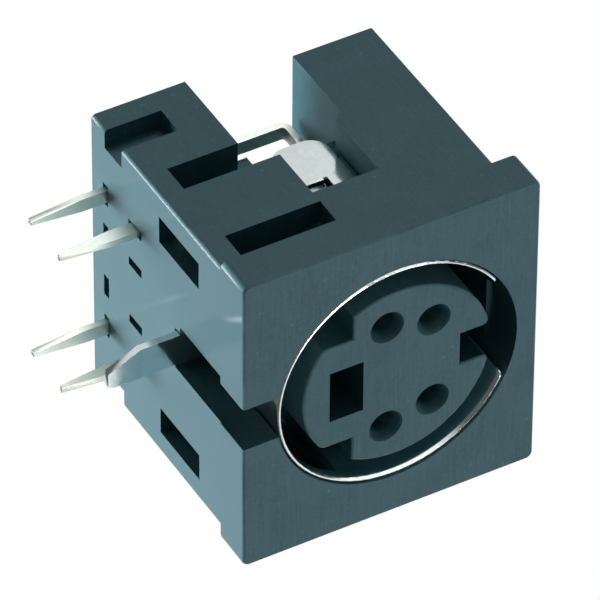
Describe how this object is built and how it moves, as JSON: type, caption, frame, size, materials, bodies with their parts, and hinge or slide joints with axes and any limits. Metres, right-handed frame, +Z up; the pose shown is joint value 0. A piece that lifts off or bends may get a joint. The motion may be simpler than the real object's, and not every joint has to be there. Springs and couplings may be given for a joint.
{
  "type": "mini-din socket",
  "caption": "Right-angle round socket for a printed board: square flange, countersunk pin holes in a round nose, metal shield ring and solder tails.",
  "frame": {"origin": "on the board face, midway between the two tails of the front row", "axes": "+Z up from the board, -Y out of the mating face, +X to the right seen from the front"},
  "size_m": [0.014, 0.012, 0.0159],
  "materials": {
    "plastic": "finely textured",
    "tinned_metal": "bright tin plate"
  },
  "bodies": {
    "root": {"housing": "plastic", "shield": "tinned_metal", "contact_upper_left": "tinned_metal", "contact_upper_right": "tinned_metal", "contact_lower_left": "tinned_metal", "contact_lower_right": "tinned_metal"}
  },
  "joints": []
}
